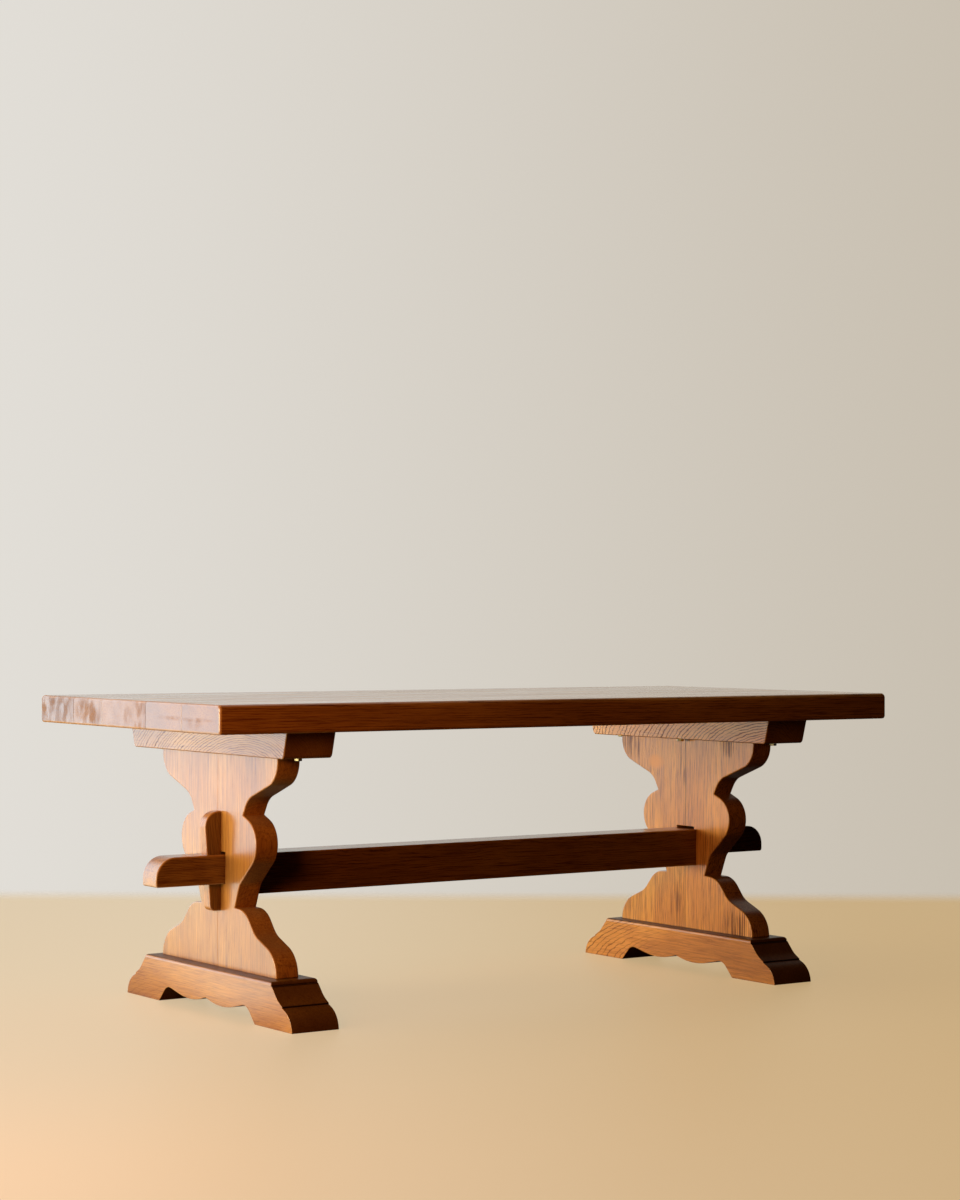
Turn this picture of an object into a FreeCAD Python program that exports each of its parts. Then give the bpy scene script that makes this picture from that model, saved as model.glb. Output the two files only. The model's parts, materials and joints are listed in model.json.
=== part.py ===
import FreeCAD, Part
import math
import os

from FreeCAD import Vector

# Trestle dining table in oak: a five-plank top on two scrolled trestles, which a stretcher ties together
# with through tenons and tapered wedges. Millimetres: X runs along the table, Y across it with the front
# at -Y, and Z up. The origin is on the floor under the middle of the table.

# Table top, its plank widths given from the front to the back, with round long edges and eased ends
TOP_LENGTH = 1976.0
TOP_THICKNESS = 66.0
PLANK_WIDTHS = (175.0, 172.0, 218.0, 149.0, 180.0)
TOP_EDGE_RADIUS = 12.0
TOP_UNDER_RADIUS = 8.0
TOP_END_RADIUS = 6.0

# Heights of a trestle, one above the other from the floor to the top
FOOT_HEIGHT = 106.0
SHOULDER_HEIGHT = 145.5
WAIST_HEIGHT = 218.5
FLARE_HEIGHT = 142.0
CAP_THICKNESS = 62.0

# Leg slab: two boards that meet at the middle of the table's width, with the inset of the slab's middle
# from the end of the top
TRESTLE_INSET = 275.0
LEG_THICKNESS = 60.0
LEG_FOOT_HALF = 274.0
LOWER_NOTCH_HALF = 80.5
UPPER_NOTCH_HALF = 118.0
LEG_TOP_HALF = 277.0

# Curves of the leg from the foot up, as corners of its outline that are rounded off
SWELL_RISE = 48.5
SWELL_RADIUS = 70.0
HOLLOW_HALF = 175.0
HOLLOW_RISE = 89.5
HOLLOW_RADIUS = 65.0
SHOULDER_HALF = 130.0
SHOULDER_DROP = 2.5
SHOULDER_RADIUS = 65.0
NECK_HALF = 102.5
NECK_RISE = 54.5
NECK_RADIUS = 45.0
LOBE_CORNER_HALF = 233.0
LOBE_DROP = 46.0
LOBE_RADIUS = 61.0
COVE_HALF = 140.0
COVE_RISE = 38.5
COVE_RADIUS = 60.0
BULGE_DROP = 52.5
BULGE_RADIUS = 62.0
LEG_ARRIS = 2.0

# Stub tenons that hold a leg in its cap and its foot
STUB_THICKNESS = 26.0
STUB_HALF = 215.0
STUB_UP = 34.0
STUB_DOWN = 48.0
STUB_CLEARANCE = 0.25
STUB_END_CLEARANCE = 1.0

# Cap bar, longer at the top than at its undercut bottom
CAP_WIDTH = 130.0
CAP_TOP_LENGTH = 754.0
CAP_BOTTOM_LENGTH = 720.0
CAP_CORNER_RADIUS = 12.0
CAP_ARRIS = 2.0

# Foot, with a bead, a cove and a round one below the other on each end
FOOT_WIDTH = 124.0
FOOT_LENGTH = 796.0
BEAD_LENGTH = 610.0
BEAD_HEIGHT = 10.5
BEAD_RADIUS = 8.0
BEAD_LEDGE = 2.5
COVE_CORNER_IN = 66.0
COVE_CORNER_HEIGHT = 68.0
FOOT_COVE_RADIUS = 60.0
CREASE_IN = 44.0
CREASE_HEIGHT = 52.0
CREASE_STEP = 3.0
ROUND_CORNER_IN = 5.0
ROUND_CORNER_HEIGHT = 36.0
FOOT_ROUND_RADIUS = 55.0

# Scrolled cut-out under a foot, from its middle out to the two pads
ARCH_CUSP_HEIGHT = 34.5
ARCH_BULGE_HALF = 73.0
ARCH_BULGE_HEIGHT = 16.0
ARCH_BULGE_RADIUS = 250.0
ARCH_PEAK_HALF = 192.0
ARCH_PEAK_HEIGHT = 41.0
ARCH_PEAK_RADIUS = 34.0
ARCH_PAD_HALF = 231.0

# Stretcher and its through tenons, whose tops are flush with it
STRETCHER_HEIGHT = 96.0
STRETCHER_THICKNESS = 94.0
STRETCHER_ARRIS = 4.0
TENON_SEAT = 52.0
TENON_HEIGHT = 69.0
TENON_THICKNESS = 70.0
TENON_PROJECTION = 181.0
TENON_TOP_RADIUS = 50.0
TENON_BOTTOM_RADIUS = 6.0
TENON_ARRIS = 2.5
MORTISE_HEADROOM = 6.0
MORTISE_SIDE_CLEARANCE = 0.5

# Tusk wedge: upright against the leg, tapered on its outer side
WEDGE_THICKNESS = 31.0
WEDGE_LENGTH = 235.0
WEDGE_BELOW_TENON = 64.5
WEDGE_WIDTH_AT_TENON_TOP = 37.0
WEDGE_TAPER_DEGREES = 4.2
WEDGE_TOP_RADIUS = 36.0
WEDGE_BOTTOM_RADIUS = 13.0
WEDGE_ARRIS = 2.0
WEDGE_DRAW = 6.0
WEDGE_SIDE_CLEARANCE = 0.5
WEDGE_FIT = 0.2

# Hexagon-head wood screws that hold the caps to the top
SCREW_DIAMETER = 10.0
SCREW_LENGTH = 106.0
SCREW_TIP = 9.0
SCREW_TIP_RADIUS = 1.25
SCREW_HEAD_FLATS = 17.0
SCREW_HEAD_HEIGHT = 7.0
CAP_HOLE_CLEARANCE = 0.5
PILOT_CLEARANCE = 0.1
PILOT_END_CLEARANCE = 3.0

# How close two coordinates are that count as the same, and the largest share of a wall, or of another
# rounding that it meets, that a rounding takes
SAME = 1e-4
ROUNDING_SHARE = 0.95

# Heights and places that follow from the sizes above
TOP_WIDTH = sum(PLANK_WIDTHS)
LOWER_NOTCH_Z = FOOT_HEIGHT + SHOULDER_HEIGHT
UPPER_NOTCH_Z = LOWER_NOTCH_Z + WAIST_HEIGHT
CAP_BOTTOM_Z = UPPER_NOTCH_Z + FLARE_HEIGHT
TOP_BOTTOM_Z = CAP_BOTTOM_Z + CAP_THICKNESS
TOP_Z = TOP_BOTTOM_Z + TOP_THICKNESS
LEG_X = TOP_LENGTH / 2 - TRESTLE_INSET
LEG_INNER_X = LEG_X - LEG_THICKNESS / 2
LEG_OUTER_X = LEG_X + LEG_THICKNESS / 2
TENON_BOTTOM_Z = LOWER_NOTCH_Z + TENON_SEAT
TENON_TOP_Z = TENON_BOTTOM_Z + TENON_HEIGHT
TENON_END_X = LEG_OUTER_X + TENON_PROJECTION
WEDGE_BOTTOM_Z = TENON_BOTTOM_Z - WEDGE_BELOW_TENON
WEDGE_TOP_Z = WEDGE_BOTTOM_Z + WEDGE_LENGTH
INNER_LEDGE_X = (LEG_INNER_X + LEG_X - CAP_WIDTH / 2) / 2
END_LEDGE_Y = (LEG_TOP_HALF + CAP_BOTTOM_LENGTH / 2) / 2


def rounded_wire(corners, place):
    """Closed wire through (a, b, radius) corners, each rounded as far as its two sides have room."""
    points = [Vector(a, b, 0) for a, b, _ in corners]
    count = len(points)
    sides = [points[(i + 1) % count] - points[i] for i in range(count)]
    half_angles = [sides[i - 1].negative().getAngle(sides[i]) / 2 for i in range(count)]
    trims = [corner[2] / math.tan(half) for corner, half in zip(corners, half_angles)]
    room = [1.0] * count
    for i in range(count):
        following = (i + 1) % count
        wanted = trims[i] + trims[following]
        if wanted > sides[i].Length:
            share = sides[i].Length / wanted
            room[i] = min(room[i], share)
            room[following] = min(room[following], share)
    edges = []
    last = None
    first = None
    for i in range(count):
        trim = trims[i] * room[i]
        back = Vector(sides[i - 1]).normalize().negative()
        ahead = Vector(sides[i]).normalize()
        start = points[i] + back * trim
        end = points[i] + ahead * trim
        if last is not None and last.distanceToPoint(start) > SAME:
            edges.append(Part.LineSegment(place(last), place(start)).toShape())
        if trim > 0:
            bisector = (back + ahead).normalize()
            radius = trim * math.tan(half_angles[i])
            middle = points[i] + bisector * (radius / math.sin(half_angles[i]) - radius)
            edges.append(Part.Arc(place(start), place(middle), place(end)).toShape())
        first = first or start
        last = end
    if last.distanceToPoint(first) > SAME:
        edges.append(Part.LineSegment(place(last), place(first)).toShape())
    return Part.Wire(edges)


def side_prism(corners, x_from, x_to):
    """Solid of an outline of (y, z, radius) corners, from one X to another."""
    wire = rounded_wire(corners, lambda p: Vector(x_from, p.x, p.y))
    return Part.Face(wire).extrude(Vector(x_to - x_from, 0, 0))


def front_prism(corners, y_half):
    """Solid of an outline of (x, z, radius) corners, as far to the front as to the back."""
    wire = rounded_wire(corners, lambda p: Vector(p.x, -y_half, p.y))
    return Part.Face(wire).extrude(Vector(0, 2 * y_half, 0))


def box(x_range, y_range, z_range):
    """Box between pairs of X, Y and Z values."""
    corner = Vector(x_range[0], y_range[0], z_range[0])
    size = [high - low for low, high in (x_range, y_range, z_range)]
    return Part.makeBox(size[0], size[1], size[2], corner)


def both_halves(half_outline):
    """Whole outline of a piece that is alike to the front and to the back, from its +Y half."""
    front_half = [(-y, z, radius) for y, z, radius in reversed(half_outline) if y > 0]
    return half_outline + front_half


def mirrored(shape, axis):
    """The shape's mirror image across the middle of the table, along an axis."""
    return shape.mirror(Vector(0, 0, 0), axis)


def ease(shape, radius, wanted):
    """Rounds off the edges that a test picks."""
    return shape.makeFillet(radius, [edge for edge in shape.Edges if wanted(edge.BoundBox)])


def bevel(shape, width, wanted):
    """Planes off the edges that a test picks."""
    return shape.makeChamfer(width, [edge for edge in shape.Edges if wanted(edge.BoundBox)])


def on_x_faces(bounds, faces):
    """True for an edge that lies in one of the given planes across X."""
    return any(abs(bounds.XMin - x) < SAME and abs(bounds.XMax - x) < SAME for x in faces)


def on_y_faces(bounds, half):
    """True for an edge that lies in the front or the back plane of a piece that is 2 halves thick."""
    return bounds.YLength < SAME and abs(abs(bounds.YMin) - half) < SAME


def screw_places():
    """Middle points of the right trestle's screws, in the middle of the ledges that the cap forms."""
    ends = [(LEG_X, side * END_LEDGE_Y) for side in (-1, 1)]
    return [Vector(x, y, CAP_BOTTOM_Z) for x, y in ends + [(INNER_LEDGE_X, 0.0)]]


def screw_holes(clearance, end_clearance):
    """Holes for the screws of both trestles."""
    radius = SCREW_DIAMETER / 2 + clearance
    right = [Part.makeCylinder(radius, SCREW_LENGTH + end_clearance, place) for place in screw_places()]
    return right + [mirrored(hole, Vector(1, 0, 0)) for hole in right]


def make_planks():
    """Table top as one rounded slab with its pilot holes, sawn into planks along the glue joints."""
    half_outline = [
        (TOP_WIDTH / 2, TOP_BOTTOM_Z, TOP_UNDER_RADIUS),
        (TOP_WIDTH / 2, TOP_Z, TOP_EDGE_RADIUS),
    ]
    ends = (-TOP_LENGTH / 2, TOP_LENGTH / 2)
    slab = side_prism(both_halves(half_outline), *ends)
    end_limit = ROUNDING_SHARE * min(TOP_EDGE_RADIUS, TOP_UNDER_RADIUS)
    slab = ease(slab, min(TOP_END_RADIUS, end_limit), lambda b: on_x_faces(b, ends))
    slab = slab.cut(screw_holes(PILOT_CLEARANCE, PILOT_END_CLEARANCE))
    planks = []
    front = -TOP_WIDTH / 2
    for width in PLANK_WIDTHS:
        sawn = box((-TOP_LENGTH, TOP_LENGTH), (front, front + width), (0, 2 * TOP_Z))
        planks.append(slab.common(sawn).Solids[0])
        front += width
    return planks


def make_leg_board():
    """Back board of the right leg: half of the scrolled slab, its mortise and its stub tenons."""
    outline = [
        (0, FOOT_HEIGHT, 0),
        (LEG_FOOT_HALF, FOOT_HEIGHT, 0),
        (LEG_FOOT_HALF, FOOT_HEIGHT + SWELL_RISE, SWELL_RADIUS),
        (HOLLOW_HALF, FOOT_HEIGHT + HOLLOW_RISE, HOLLOW_RADIUS),
        (SHOULDER_HALF, LOWER_NOTCH_Z - SHOULDER_DROP, SHOULDER_RADIUS),
        (LOWER_NOTCH_HALF, LOWER_NOTCH_Z, 0),
        (NECK_HALF, LOWER_NOTCH_Z + NECK_RISE, NECK_RADIUS),
        (LOBE_CORNER_HALF, UPPER_NOTCH_Z - LOBE_DROP, LOBE_RADIUS),
        (UPPER_NOTCH_HALF, UPPER_NOTCH_Z, 0),
        (COVE_HALF, UPPER_NOTCH_Z + COVE_RISE, COVE_RADIUS),
        (LEG_TOP_HALF, CAP_BOTTOM_Z - BULGE_DROP, BULGE_RADIUS),
        (LEG_TOP_HALF, CAP_BOTTOM_Z, 0),
        (0, CAP_BOTTOM_Z, 0),
    ]
    board = side_prism(outline, LEG_INNER_X, LEG_OUTER_X)

    def on_scroll(bounds):
        ends = (FOOT_HEIGHT, CAP_BOTTOM_Z)
        across = any(abs(bounds.ZMin - z) < SAME and bounds.ZLength < SAME for z in ends)
        return on_x_faces(bounds, (LEG_INNER_X, LEG_OUTER_X)) and not across and bounds.YMax > SAME

    board = bevel(board, LEG_ARRIS, on_scroll)
    stub_x = (LEG_X - STUB_THICKNESS / 2, LEG_X + STUB_THICKNESS / 2)
    stub_ends = ((FOOT_HEIGHT - STUB_DOWN, FOOT_HEIGHT), (CAP_BOTTOM_Z, CAP_BOTTOM_Z + STUB_UP))
    board = board.fuse([box(stub_x, (0, STUB_HALF), stub_z) for stub_z in stub_ends])
    mortise_y = (0, TENON_THICKNESS / 2 + MORTISE_SIDE_CLEARANCE)
    mortise_z = (TENON_BOTTOM_Z, TENON_TOP_Z + MORTISE_HEADROOM)
    board = board.cut(box((LEG_INNER_X, LEG_OUTER_X), mortise_y, mortise_z))
    return board.removeSplitter()


def stub_mortise(z_low, z_high):
    """Space for a leg's stub tenons in the piece that holds them."""
    half_x = STUB_THICKNESS / 2 + STUB_CLEARANCE
    half_y = STUB_HALF + STUB_CLEARANCE
    return box((LEG_X - half_x, LEG_X + half_x), (-half_y, half_y), (z_low, z_high))


def make_cap():
    """Right cap bar with its undercut ends, its mortise for the leg and its screw holes."""
    half_outline = [
        (CAP_BOTTOM_LENGTH / 2, CAP_BOTTOM_Z, CAP_CORNER_RADIUS),
        (CAP_TOP_LENGTH / 2, TOP_BOTTOM_Z, 0),
    ]
    faces = (LEG_X - CAP_WIDTH / 2, LEG_X + CAP_WIDTH / 2)
    cap = side_prism(both_halves(half_outline), *faces)
    cap = bevel(cap, CAP_ARRIS, lambda b: on_x_faces(b, faces) and b.ZMin < TOP_BOTTOM_Z - SAME)
    cap = cap.cut(stub_mortise(CAP_BOTTOM_Z, CAP_BOTTOM_Z + STUB_UP + STUB_END_CLEARANCE))
    return cap.cut(screw_holes(CAP_HOLE_CLEARANCE, 0.0))


def make_foot():
    """Right foot with its moulded ends, the scrolled cut-out underneath and its mortise for the leg."""
    end = FOOT_LENGTH / 2
    bead_z = (FOOT_HEIGHT - BEAD_HEIGHT, FOOT_HEIGHT)
    half_outline = [
        (0, ARCH_CUSP_HEIGHT, 0),
        (ARCH_BULGE_HALF, ARCH_BULGE_HEIGHT, ARCH_BULGE_RADIUS),
        (ARCH_PEAK_HALF, ARCH_PEAK_HEIGHT, ARCH_PEAK_RADIUS),
        (ARCH_PAD_HALF, 0, 0),
        (end, 0, 0),
        (end - ROUND_CORNER_IN, ROUND_CORNER_HEIGHT, FOOT_ROUND_RADIUS),
        (end - CREASE_IN, CREASE_HEIGHT, 0),
        (end - CREASE_IN, CREASE_HEIGHT + CREASE_STEP, 0),
        (end - COVE_CORNER_IN, COVE_CORNER_HEIGHT, FOOT_COVE_RADIUS),
        (BEAD_LENGTH / 2 + BEAD_LEDGE, bead_z[0], 0),
    ]
    faces = (LEG_X - FOOT_WIDTH / 2, LEG_X + FOOT_WIDTH / 2)
    foot = side_prism(both_halves(half_outline), *faces)
    bead = box(faces, (-BEAD_LENGTH / 2, BEAD_LENGTH / 2), bead_z)
    bead = ease(bead, min(BEAD_RADIUS, ROUNDING_SHARE * BEAD_HEIGHT), lambda b: b.ZMin > FOOT_HEIGHT - SAME)
    foot = foot.fuse(bead).removeSplitter()
    mortise_floor = FOOT_HEIGHT - STUB_DOWN - STUB_END_CLEARANCE
    return foot.cut(stub_mortise(mortise_floor, FOOT_HEIGHT))


def wedge_width(z):
    """Width of a wedge along X at a height, by its taper."""
    slope = math.tan(math.radians(WEDGE_TAPER_DEGREES))
    return WEDGE_WIDTH_AT_TENON_TOP + (z - TENON_TOP_Z) * slope


def make_stretcher():
    """Beam between the legs, with a through tenon and a wedge mortise at each end."""
    half_y = STRETCHER_THICKNESS / 2
    beam_z = (TENON_TOP_Z - STRETCHER_HEIGHT, TENON_TOP_Z)
    beam = box((-LEG_INNER_X, LEG_INNER_X), (-half_y, half_y), beam_z)
    beam = ease(beam, STRETCHER_ARRIS, lambda b: b.XLength > LEG_INNER_X)
    tenon = front_prism(
        [
            (LEG_INNER_X, TENON_BOTTOM_Z, 0),
            (TENON_END_X, TENON_BOTTOM_Z, TENON_BOTTOM_RADIUS),
            (TENON_END_X, TENON_TOP_Z, TENON_TOP_RADIUS),
            (LEG_INNER_X, TENON_TOP_Z, 0),
        ],
        TENON_THICKNESS / 2,
    )
    cheek = TENON_THICKNESS / 2
    tenon = bevel(
        tenon, TENON_ARRIS, lambda b: on_y_faces(b, cheek) and b.XMax > LEG_INNER_X + SAME
    )
    slot_x = LEG_OUTER_X + WEDGE_FIT
    slot = front_prism(
        [
            (LEG_OUTER_X - WEDGE_DRAW, TENON_BOTTOM_Z, 0),
            (slot_x + wedge_width(TENON_BOTTOM_Z), TENON_BOTTOM_Z, 0),
            (slot_x + wedge_width(TENON_TOP_Z), TENON_TOP_Z, 0),
            (LEG_OUTER_X - WEDGE_DRAW, TENON_TOP_Z, 0),
        ],
        WEDGE_THICKNESS / 2 + WEDGE_SIDE_CLEARANCE,
    )
    tenon = tenon.cut(slot)
    return beam.fuse([tenon, mirrored(tenon, Vector(1, 0, 0))]).removeSplitter()


def make_wedge():
    """Right tusk wedge, standing against the leg's outer face."""
    outline = [
        (LEG_OUTER_X, WEDGE_BOTTOM_Z, 0),
        (LEG_OUTER_X + wedge_width(WEDGE_BOTTOM_Z), WEDGE_BOTTOM_Z, WEDGE_BOTTOM_RADIUS),
        (LEG_OUTER_X + wedge_width(WEDGE_TOP_Z), WEDGE_TOP_Z, WEDGE_TOP_RADIUS),
        (LEG_OUTER_X, WEDGE_TOP_Z, 0),
    ]
    half_y = WEDGE_THICKNESS / 2
    wedge = front_prism(outline, half_y)
    return bevel(
        wedge, WEDGE_ARRIS, lambda b: on_y_faces(b, half_y) and b.XMax > LEG_OUTER_X + SAME
    )


def make_screws():
    """Screws of the right trestle: hexagon head under the cap, plain shank and cone tip."""
    head_corner = SCREW_HEAD_FLATS / math.sqrt(3)
    radius = SCREW_DIAMETER / 2
    screws = []
    for place in screw_places():
        low = place - Vector(0, 0, SCREW_HEAD_HEIGHT)
        turns = [math.radians(60 * i) for i in range(7)]
        hexagon = Part.makePolygon(
            [low + Vector(math.cos(turn), math.sin(turn), 0) * head_corner for turn in turns]
        )
        head = Part.Face(hexagon).extrude(Vector(0, 0, SCREW_HEAD_HEIGHT))
        shank = Part.makeCylinder(radius, SCREW_LENGTH - SCREW_TIP, place)
        tip_base = place + Vector(0, 0, SCREW_LENGTH - SCREW_TIP)
        tip = Part.makeCone(radius, SCREW_TIP_RADIUS, SCREW_TIP, tip_base)
        screws.append(head.fuse([shank, tip]).removeSplitter().Solids[0])
    return Part.makeCompound(screws)


def all_nodes():
    """Every piece of the table under its name."""
    nodes = {}
    for number, plank in enumerate(make_planks(), start=1):
        nodes["top_plank_%d" % number] = plank
    nodes["stretcher"] = make_stretcher()
    back_board = make_leg_board()
    right_trestle = {
        "cap": make_cap(),
        "foot": make_foot(),
        "leg_back_board": back_board,
        "leg_front_board": mirrored(back_board, Vector(0, 1, 0)),
        "wedge": make_wedge(),
        "cap_screws": make_screws(),
    }
    for name, shape in right_trestle.items():
        nodes["right_" + name] = shape
        nodes["left_" + name] = mirrored(shape, Vector(1, 0, 0))
    return nodes


def main():
    os.makedirs("parts", exist_ok=True)
    for name, shape in all_nodes().items():
        solids = shape.Solids
        volume = sum(solid.Volume for solid in solids)
        print("%-24s solids %d  valid %s  volume %.0f" % (name, len(solids), shape.isValid(), volume))
        shape = solids[0] if len(solids) == 1 else Part.makeCompound(solids)
        shape.exportStep("parts/%s.step" % name)


main()
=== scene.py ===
"""Dresses a trestle dining table in stained oak, on a pale floor with soft light and a camera."""
import json
import math
from collections import namedtuple

import bmesh
import bpy
from bpy.props import FloatProperty, FloatVectorProperty, PointerProperty
from mathutils import Matrix, Vector


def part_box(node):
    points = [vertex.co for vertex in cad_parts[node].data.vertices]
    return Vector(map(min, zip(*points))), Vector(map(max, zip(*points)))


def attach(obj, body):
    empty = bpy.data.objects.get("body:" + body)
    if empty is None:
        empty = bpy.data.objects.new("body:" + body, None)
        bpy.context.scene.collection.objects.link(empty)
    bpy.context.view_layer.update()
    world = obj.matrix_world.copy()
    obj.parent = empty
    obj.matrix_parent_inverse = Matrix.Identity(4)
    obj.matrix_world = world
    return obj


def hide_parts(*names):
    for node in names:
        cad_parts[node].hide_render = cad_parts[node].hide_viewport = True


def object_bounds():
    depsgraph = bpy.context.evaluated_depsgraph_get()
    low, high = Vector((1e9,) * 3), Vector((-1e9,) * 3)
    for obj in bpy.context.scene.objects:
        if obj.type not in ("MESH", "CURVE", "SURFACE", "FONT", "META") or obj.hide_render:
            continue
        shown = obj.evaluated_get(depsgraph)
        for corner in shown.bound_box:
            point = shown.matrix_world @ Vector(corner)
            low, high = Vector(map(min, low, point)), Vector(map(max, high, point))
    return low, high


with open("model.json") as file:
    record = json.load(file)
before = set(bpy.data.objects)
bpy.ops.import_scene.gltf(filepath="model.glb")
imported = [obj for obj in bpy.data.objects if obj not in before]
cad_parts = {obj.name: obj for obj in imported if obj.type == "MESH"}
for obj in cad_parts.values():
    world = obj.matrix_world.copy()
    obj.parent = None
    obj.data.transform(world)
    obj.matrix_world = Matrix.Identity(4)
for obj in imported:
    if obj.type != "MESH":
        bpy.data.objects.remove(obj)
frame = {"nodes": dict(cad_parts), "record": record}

bl_info = {
    "name": "Trestle dining table",
    "version": (1, 0, 0),
    "blender": (4, 5, 0),
    "location": "View3D > Sidebar > Table",
    "description": "Dresses a trestle dining table in stained oak",
    "category": "Object",
}

CAD_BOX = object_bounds()
AXES = {"X": 0, "Y": 1, "Z": 2}
SIDES = ("left", "right")

# Limits of the mesh clean-up, in metres and degrees
MERGE_DISTANCE = 1e-6
PLANAR_ANGLE = 0.2
SHARP_ANGLE = 40.0

# Eased arrises: their segments, the weight of the flat faces in the normals, and the faces that count as
# arrises by how far they are turned to the worn axis
ARRIS_SEGMENTS = 2
NORMAL_WEIGHT = 80
ARRIS_TURN = (0.15, 0.985)

# A board: the axis of its grain, the axis across its flat faces, where the tree's pith runs beside its
# middle, how the pith slants along the grain, the width of its growth rings and how far they ripple, how
# strongly they and the strands along the grain show, the tone of its flat faces and the shading of its
# edges and ends, both of which paint light and shade besides the wood's own tone, its seed and its marks. A
# mark lies in the flat faces, but a smudge lies in the end grain.
BOARD_VALUES = "grain flat pith tilt ring ripple figure strands tone edge_tone seed marks"
Board = namedtuple("Board", BOARD_VALUES, defaults=((),))
Mark = namedtuple("Mark", "kind place reach strength")

# The edge shading darkens the ends and sides of the planks against their top faces as painted shade,
# darkest on the back plank
PLANKS = {
    "top_plank_1": Board(
        "X", "Z", pith=(0.015, -0.120), tilt=(0.006, 0.020), ring=0.0042, ripple=0.005,
        figure=0.40, strands=1.50, tone=1.05, edge_tone=0.80, seed=1, marks=(
            Mark("smudge", (-0.340, 0.704), (0.080, 0.005), 0.60),
            Mark("smudge", (-0.330, 0.694), (0.035, 0.012), 0.35),
        ),
    ),
    "top_plank_2": Board(
        "X", "Z", pith=(-0.060, -0.075), tilt=(-0.010, 0.012), ring=0.0036, ripple=0.005,
        figure=0.40, strands=1.50, tone=1.05, edge_tone=0.80, seed=2, marks=(
            Mark("smudge", (-0.235, 0.705), (0.070, 0.005), 0.60),
        ),
    ),
    "top_plank_3": Board(
        "X", "Z", pith=(0.030, -0.140), tilt=(0.008, -0.018), ring=0.0046, ripple=0.005,
        figure=0.45, strands=1.50, tone=1.10, edge_tone=0.84, seed=3, marks=(
            Mark("smudge", (-0.072, 0.700), (0.036, 0.050), 0.70),
            Mark("smudge", (-0.010, 0.705), (0.022, 0.020), 0.40),
            Mark("smudge", (0.010, 0.707), (0.200, 0.090), 0.25),
        ),
    ),
    "top_plank_4": Board(
        "X", "Z", pith=(0.090, -0.060), tilt=(0.004, 0.010), ring=0.0034, ripple=0.005,
        figure=0.35, strands=1.50, tone=1.05, edge_tone=0.80, seed=4, marks=(
            Mark("smudge", (0.195, 0.708), (0.060, 0.030), 0.85),
            Mark("smudge", (0.150, 0.692), (0.034, 0.016), 0.40),
            Mark("smudge", (0.190, 0.707), (0.200, 0.090), 0.30),
        ),
    ),
    "top_plank_5": Board(
        "X", "Z", pith=(-0.020, -0.110), tilt=(-0.012, 0.022), ring=0.0040, ripple=0.005,
        figure=0.40, strands=1.50, tone=1.00, edge_tone=0.72, seed=5, marks=(
            Mark("smudge", (0.410, 0.716), (0.050, 0.024), 0.50),
            Mark("smudge", (0.310, 0.716), (0.040, 0.030), 0.30),
            Mark("smudge", (0.360, 0.707), (0.250, 0.120), 0.80),
        ),
    ),
}
# Painted light and shade in the tones: the brightly lit left leg is darkened and the right leg, which the
# left trestle shades, is lightened; the edges are lighter than the flat faces on the left and darker on the
# right
LEG_BOARDS = {
    "left_leg_front_board": Board(
        "Z", "X", pith=(0.030, 0.300), tilt=(0.004, 0.020), ring=0.0062, ripple=0.003,
        figure=0.16, strands=1.00, tone=0.78, edge_tone=0.95, seed=11, marks=(
            Mark("stain", (-0.035, 0.190), (0.022, 0.030), 0.25),
            # Glow: painted orange bounce light on the leg beside the wedge and tenon
            Mark("glow", (-0.034, 0.375), (0.042, 0.105), 1.00),
        ),
    ),
    "left_leg_back_board": Board(
        "Z", "X", pith=(0.040, -0.320), tilt=(0.006, -0.016), ring=0.0056, ripple=0.003,
        figure=0.16, strands=1.00, tone=0.77, edge_tone=0.95, seed=12,
    ),
    "right_leg_front_board": Board(
        "Z", "X", pith=(0.040, 0.330), tilt=(0.006, 0.030), ring=0.0064, ripple=0.003,
        figure=0.24, strands=1.70, tone=1.30, edge_tone=0.76, seed=13, marks=(
            Mark("stain", (-0.172, 0.606), (0.034, 0.040), 0.75),
            Mark("stain", (-0.205, 0.120), (0.050, 0.055), 0.85),
            # Glow: a lighter golden strip beside the joint
            Mark("glow", (-0.014, 0.180), (0.018, 0.150), 0.60),
        ),
    ),
    "right_leg_back_board": Board(
        "Z", "X", pith=(0.030, -0.300), tilt=(0.008, -0.020), ring=0.0058, ripple=0.003,
        figure=0.24, strands=1.70, tone=1.27, edge_tone=0.76, seed=14, marks=(
            Mark("knot", (0.125, 0.545), (0.034, 0.020), 0.95),
            Mark("stain", (0.235, 0.595), (0.060, 0.050), 0.60),
            Mark("stain", (0.028, 0.170), (0.032, 0.130), 0.60),
            Mark("stain", (0.014, 0.520), (0.018, 0.110), 0.25),
        ),
    ),
}
# Painted light and shade in the tones: the left cap is darkened and the right cap lightened, their edges
# and ends darkened
CAPS = {
    "left_cap": Board(
        "Y", "X", pith=(0.002, -0.080), tilt=(-0.357, 0.020), ring=0.0050, ripple=0.010,
        figure=0.85, strands=0.90, tone=0.72, edge_tone=0.58, seed=21,
    ),
    "right_cap": Board(
        "Y", "X", pith=(0.095, -0.080), tilt=(-0.383, 0.010), ring=0.0062, ripple=0.012,
        figure=1.00, strands=0.90, tone=1.34, edge_tone=0.56, seed=22,
    ),
}
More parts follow.
